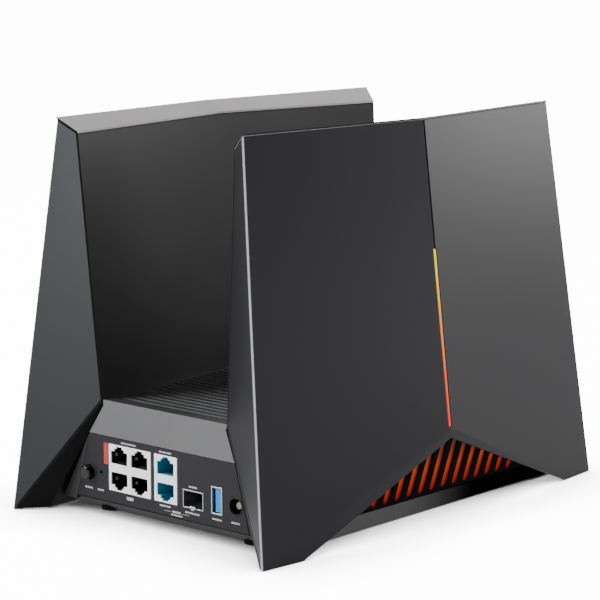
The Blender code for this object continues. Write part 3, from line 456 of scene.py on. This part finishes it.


# Painted shade: the sills' grey and sheen fade to near black towards +Y.
paint_shade_along_y(sill_grey, -0.02, 0.045, 0.01)
# Painted shade in the vent glow: it dims towards the top of the slots, under the panel's edge, and towards
# each slot's sides.
vent_glow = glow(
    "vent_glow",
    [(0.0, "8c1010"), (0.22, "c4260e"), (0.5, "d84412"), (0.75, "8a3a1c"), (1.0, "542a1c")],
    0.72,
    DIFFUSER_FOOT,
    DIFFUSER_TOP,
    0.5,
    shade_band_pitch=SLOT_PITCH,
)
for side in ("right", "left"):
    softened(f"vent_plate_{side}", f"vent_grille_{side}", [vent_black], 0.00012)
    softened(f"vent_kerb_{side}", f"vent_sill_{side}", [sill_grey], 0.0002)
    nodes[f"vent_diffuser_{side}"].data.materials.clear()
    nodes[f"vent_diffuser_{side}"].data.materials.append(vent_glow)

# ---------------------------------------------------------------------------
# Deck and end facets: one moulding, held from below by the case screws, with a
# louvre of flat ribs. The facets are mid grey; the up-facing rib tops take a darker
# copy of that grey, painted shade where the wings keep the light off the deck.

deck_grey = moulded("deck_grey", "555556", "5d5d5e", 0.48)
rib_shaded_grey = moulded("rib_shaded_grey", "29292a", "313132", 0.5)
deck = softened("deck_louvre", "top_cover", [deck_grey, rib_shaded_grey], 0.0003)
# Up-facing rib tops take the darker copy of the grey: painted shade.
for face in deck.data.polygons:
    if face.normal.z > 0.9:
        face.material_index = 1

# ---------------------------------------------------------------------------
# Tray and end panels: dark grained plastic. The tray carries the board, and a
# plain or a port panel closes each end. The tray's downward faces are painted
# near black, as shade.

tray_dark = moulded("tray_dark", "1c1c1d", "232324", 0.55)
panel_dark = moulded("panel_dark", "131216", "19181c", 0.5, sheen=0.35)
TRAY_LIP_X = 0.05  # past this and above the next, an end face is the lip by the panel
TRAY_LIP_Z = 0.009
tray = softened(
    "tray_shell", "base_tray", [tray_dark, shade_and_seam_black, panel_dark], 0.0003
)
# Downward faces of the tray take the near black: painted shade.
for face in tray.data.polygons:
    if face.normal.z < -0.2:
        face.material_index = 1
    elif abs(face.normal.y) > 0.9 and face.center.x > TRAY_LIP_X and face.center.z > TRAY_LIP_Z:
        face.material_index = 2
softened("port_plate", "port_panel", [panel_dark], 0.0002)
softened("plain_plate", "front_panel", [panel_dark], 0.0002)

# ---------------------------------------------------------------------------
# Network sockets: white bezels over two moulded blocks, black and blue-green,
# each socket with eight sprung contacts, each black one with a small lamp window.

bezel_white = moulded("bezel_white", "f6f6f8", "fcfcfe", 0.38)
socket_black = moulded("socket_black", "060606", "0b0b0b", 0.4)
socket_teal = moulded("socket_teal", "0c7898", "118aa8", 0.42)
softened("lan_frame", "lan_bezel", [bezel_white], 0.0002)
softened("wan_frame", "wan_bezel", [bezel_white], 0.0002)
softened("lan_sockets", "lan_jack_block", [socket_black], 0.0001)
softened("wan_sockets", "wan_jack_block", [socket_teal], 0.0001)


def plated(name, dark, light, roughness, metallic=1.0):
    """Plated sheet metal with fine rolling lines."""
    material, tree, shader, place = finish_nodes(name)
    lines = tree.nodes.new("ShaderNodeTexNoise")
    lines.inputs["Scale"].default_value = 700.0
    stretch = tree.nodes.new("ShaderNodeMapping")
    stretch.inputs["Scale"].default_value = (1.0, 0.05, 1.0)
    tree.links.new(place, stretch.inputs["Vector"])
    tree.links.new(stretch.outputs["Vector"], lines.inputs["Vector"])
    tone = tree.nodes.new("ShaderNodeValToRGB")
    tone.color_ramp.elements[0].color = srgb(dark)
    tone.color_ramp.elements[1].color = srgb(light)
    tree.links.new(lines.outputs["Fac"], tone.inputs["Fac"])
    tree.links.new(tone.outputs["Color"], shader.inputs["Base Color"])
    rub = tree.nodes.new("ShaderNodeMapRange")
    rub.inputs["To Min"].default_value = roughness - 0.05
    rub.inputs["To Max"].default_value = roughness + 0.08
    tree.links.new(lines.outputs["Fac"], rub.inputs["Value"])
    tree.links.new(rub.outputs["Result"], shader.inputs["Roughness"])
    shader.inputs["Metallic"].default_value = metallic
    return material


contact_gold = plated("contact_gold", "8d8270", "a89c86", 0.3)


def spread(name, mesh, offsets, finish, body="router"):
    """Copies of one small shape at the given places, as one plain mesh."""
    seeds = bpy.data.meshes.new(name + "_places")
    seeds.from_pydata(offsets, [], [])
    holder = bpy.data.objects.new(name + "_holder", seeds)
    stamp = bpy.data.objects.new(name + "_stamp", mesh)
    for obj in (holder, stamp):
        bpy.context.scene.collection.objects.link(obj)
    tree = bpy.data.node_groups.new(name + "_layout", "GeometryNodeTree")
    for label, kind, way in (
        ("Places", "NodeSocketGeometry", "INPUT"),
        ("Shape", "NodeSocketObject", "INPUT"),
        ("Finish", "NodeSocketMaterial", "INPUT"),
        ("Laid out", "NodeSocketGeometry", "OUTPUT"),
    ):
        tree.interface.new_socket(label, in_out=way, socket_type=kind)
    given = tree.nodes.new("NodeGroupInput")
    shape = tree.nodes.new("GeometryNodeObjectInfo")
    points = tree.nodes.new("GeometryNodeInstanceOnPoints")
    real = tree.nodes.new("GeometryNodeRealizeInstances")
    dress = tree.nodes.new("GeometryNodeSetMaterial")
    result = tree.nodes.new("NodeGroupOutput")
    tree.links.new(given.outputs["Places"], points.inputs["Points"])
    tree.links.new(given.outputs["Shape"], shape.inputs["Object"])
    tree.links.new(shape.outputs["Geometry"], points.inputs["Instance"])
    tree.links.new(points.outputs["Instances"], real.inputs["Geometry"])
    tree.links.new(real.outputs["Geometry"], dress.inputs["Geometry"])
    tree.links.new(given.outputs["Finish"], dress.inputs["Material"])
    tree.links.new(dress.outputs["Geometry"], result.inputs["Laid out"])
    layout = holder.modifiers.new("layout", "NODES")
    layout.node_group = tree
    sockets = {item.name: item.identifier for item in tree.interface.items_tree}
    layout[sockets["Shape"]] = stamp
    layout[sockets["Finish"]] = finish
    bpy.context.view_layer.update()
    graph = bpy.context.evaluated_depsgraph_get()
    laid = bpy.data.meshes.new_from_object(holder.evaluated_get(graph))
    holder.modifiers.remove(layout)
    bpy.data.objects.remove(holder)
    bpy.data.objects.remove(stamp)
    obj = piece(name, laid, body)
    return obj


MM = 0.001


def block(bm, low, high, rounding=0.0):
    """Adds a box between two corners in millimetres, its edges rounded off if asked."""
    low, high = Vector(low) * MM, Vector(high) * MM
    made = bmesh.ops.create_cube(bm, size=1.0)["verts"]
    bmesh.ops.scale(bm, vec=high - low, verts=made)
    bmesh.ops.translate(bm, vec=(low + high) / 2, verts=made)
    if rounding:
        edges = {edge for vert in made for edge in vert.link_edges}
        bmesh.ops.bevel(
            bm, geom=list(edges), offset=rounding * MM, segments=2, profile=0.5, affect="EDGES"
        )


def blocks_mesh(name, corners, rounding=0.0):
    """Boxes between pairs of corners in millimetres, as one mesh."""
    bm = bmesh.new()
    for low, high in corners:
        block(bm, low, high, rounding)
    mesh = bpy.data.meshes.new(name)
    bm.to_mesh(mesh)
    bm.free()
    return mesh


WIRE_PATH = ((0.0, 0.25), (2.2, 0.35), (7.5, 2.1), (9.5, 2.3))
WIRE_HALF_WIDTH = 0.16
WIRE_HALF_THICKNESS = 0.09


def sprung_wire(slope):
    """One contact: a flat wire that rises into the socket from its straight edge."""
    bm = bmesh.new()
    wide, thick = WIRE_HALF_WIDTH, WIRE_HALF_THICKNESS
    rows = []
    for y, z in WIRE_PATH:
        for dx, dz in ((-wide, -thick), (wide, -thick), (wide, thick), (-wide, thick)):
            rows.append(bm.verts.new((dx * MM, y * MM, slope * (z + dz) * MM)))
    for start in range(0, len(rows) - 4, 4):
        for i in range(4):
            j = (i + 1) % 4
            bm.faces.new((rows[start + i], rows[start + j], rows[start + 4 + j], rows[start + 4 + i]))
    bm.faces.new(rows[3::-1])
    bm.faces.new(rows[-4:])
    bmesh.ops.recalc_face_normals(bm, faces=bm.faces)
    mesh = bpy.data.meshes.new("sprung_wire")
    bm.to_mesh(mesh)
    bm.free()
    return mesh


SOCKET_COLUMNS = {"lan": (-29.75, -15.05), "wan": (3.7,)}
SOCKET_ROWS = (("top", 29.8, 1), ("low", 25.2, -1))  # straight edge, and the way it opens from there
CONTACT_FRONT = -112.3
CONTACT_PITCH = 1.02
CONTACTS = 8
for label, columns in SOCKET_COLUMNS.items():
    for row, edge, slope in SOCKET_ROWS:
        places = [
            Vector((centre + (index - (CONTACTS - 1) / 2) * CONTACT_PITCH, CONTACT_FRONT, edge)) * MM
            for centre in columns
            for index in range(CONTACTS)
        ]
        spread(f"{label}_contacts_{row}", sprung_wire(slope), places, contact_gold)

LAMP_RISE = 4.1  # from the straight edge to the middle of the window
LAMP_HALF_HEIGHT = 0.9
LAMP_X = (-5.75, -4.6)
LAMP_Y = (-112.6, -111.2)
lamp_clear = moulded("lamp_clear", "5e5e62", "6c6c70", 0.25)
windows = []
for centre in SOCKET_COLUMNS["lan"]:
    for row, edge, way in SOCKET_ROWS:
        middle = edge + way * LAMP_RISE
        low = (centre + LAMP_X[0], LAMP_Y[0], middle - LAMP_HALF_HEIGHT)
        high = (centre + LAMP_X[1], LAMP_Y[1], middle + LAMP_HALF_HEIGHT)
        windows.append((low, high))
shield_springs = piece("shield_springs", blocks_mesh("shield_springs", windows, 0.25))
shield_springs.data.materials.append(lamp_clear)

tab_red = moulded("tab_red", "b31f26", "bf2b31", 0.42)
tab = piece(
    "bezel_tab", blocks_mesh("bezel_tab", [((-40.7, -115.75, 28.7), (-37.65, -115.25, 39.9))], 0.12)
)
tab.data.materials.append(tab_red)

# ---------------------------------------------------------------------------
# Module cage, vertical USB socket and power inlet: plated cans in plastic, the
# cage with its bottom latch, the socket with four contacts along its blade.

bright_plate = plated("bright_plate", "b4b4b8", "d6d6da", 0.28)
pin_metal = plated("pin_metal", "8c857a", "a59d90", 0.4)
tongue_blue = moulded("tongue_blue", "0577bf", "0c8ad2", 0.4)
inlet_black = moulded("inlet_black", "0a0a0a", "101010", 0.4)
softened("module_cage", "sfp_cage", [bright_plate], 0.0001)
softened("usb_can", "usb_shell", [bright_plate], 0.0001)
softened("usb_blade", "usb_tongue", [tongue_blue], 0.0001)
barrel = softened("inlet_barrel", "dc_inlet", [inlet_black, panel_dark], 0.0002)
for face in barrel.data.polygons:
    if face.normal.y < -0.9 and face.center.y < -0.11:
        face.material_index = 1
softened("inlet_pin", "dc_pin", [pin_metal], 0.0002)

latch = blocks_mesh(
    "cage_latch",
    [
        ((21.2, -115.9, 15.6), (25.2, -115.5, 16.7)),
        ((22.0, -115.8, 14.6), (24.2, -115.5, 15.5)),
    ],
    0.1,
)
cage_latch = piece("cage_latch", latch)
cage_latch.data.materials.append(bright_plate)
USB_BLADE_FRONT = (0.0398, -0.1125, 0.0225)
USB_CONTACT_PITCH = 0.0021
places = [
    Vector(USB_BLADE_FRONT) + Vector((0, 0, step * USB_CONTACT_PITCH)) for step in (-1.5, -0.5, 0.5, 1.5)
]
strip = blocks_mesh("usb_strip", [((-0.1, -0.5, -0.45), (0.1, 8.0, 0.45))])
spread("usb_contacts", strip, places, contact_gold)

# ---------------------------------------------------------------------------
# Printed marks by each port: plain dashes and blocks in light grey ink, laid on
# the panel as a thin film, a few hundredths of a millimetre proud of it.

INK_FACE, INK_BACK = -115.34, -115.29
mark_ink = moulded("mark_ink", "a9a9ab", "bcbcbe", 0.6)


def dashes(left, right, middle, height=0.9, gap=0.35, widths=(1.5, 1.0, 1.3, 0.8)):
    """A row of short printed dashes between two places along the panel."""
    row = []
    x, index = left, 0
    while x < right - 0.3:
        end = min(x + widths[index % len(widths)], right)
        row.append(((x, INK_FACE, middle - height / 2), (end, INK_BACK, middle + height / 2)))
        x = end + gap
        index += 1
    return row


marks = dashes(-55.4, -49.8, 14.1) + dashes(-46.0, -41.4, 14.1) + dashes(-28.2, -17.2, 41.5)
marks += dashes(-0.6, 7.9, 41.4) + dashes(20.2, 25.8, 26.6) + dashes(36.4, 43.0, 12.9)
marks += dashes(49.6, 55.4, 13.2) + dashes(-0.4, 7.6, 13.6) + dashes(17.6, 27.6, 13.0)
marks += dashes(8.6, 14.4, 11.6, 1.1) + dashes(7.4, 15.6, 10.0, 0.8)
for left, right, low, high in ((-24.4, -19.6, 12.0, 13.6), (2.6, 7.6, 11.3, 11.5), (15.4, 20.4, 11.3, 11.5)):
    marks.append(((left, INK_FACE, low), (right, INK_BACK, high)))
printed = piece("printed_marks", blocks_mesh("printed_marks", marks))
printed.data.materials.append(mark_ink)

# ---------------------------------------------------------------------------
# Push button and reset key: black mouldings that slide in the port panel. The
# button is polished, and the key sits behind its pinhole. Springs return both.

button_black = moulded("button_black", "050505", "090909", 0.24, sheen=0.45)
softened("button_cap", "power_button", [button_black], 0.0003)
softened("reset_pin", "reset_key", [inlet_black], 0.0001)

# ---------------------------------------------------------------------------
# Electronics: lacquered boards, tinned shields and a black finned heat sink,
# held in the tray by screws. Here each finish goes on the frame's own node.

board_green = moulded("board_green", "123424", "1a4632", 0.35, grain=500.0, depth=0.04)
sink_black = moulded("sink_black", "0c0c0d", "121213", 0.45)
pad_grey = moulded("pad_grey", "6f767c", "7d858b", 0.8)
sheath = moulded("sheath", "0c0c0c", "141414", 0.5)
tinned = plated("tinned", "9c9ca0", "b6b6ba", 0.36)
inner_finishes = {
    "main_board": board_green,
    "antenna": board_green,
    "vent_light_board": board_green,
    "processor_shield": tinned,
    "radio_shield": tinned,
    "thermal_pad": pad_grey,
    "heat_sink": sink_black,
    "coax": sheath,
    "power_switch": inlet_black,
    "reset_switch": tinned,
    "case_screw": tinned,
    "board_screw": tinned,
}
for name, node in nodes.items():
    for start, finish in inner_finishes.items():
        if name.startswith(start):
            node.data.materials.clear()
            node.data.materials.append(finish)

# ---------------------------------------------------------------------------
# Feet: four soft rubber discs under the corners of the tray, with their edges
# rounded off.

foot_rubber = moulded("foot_rubber", "080808", "0d0d0d", 0.85, sheen=0.15)
for end in ("near", "far"):
    for side in ("right", "left"):
        softened(f"foot_{end}_{side}", f"foot_pad_{end}_{side}", [foot_rubber], 0.0006, 3)
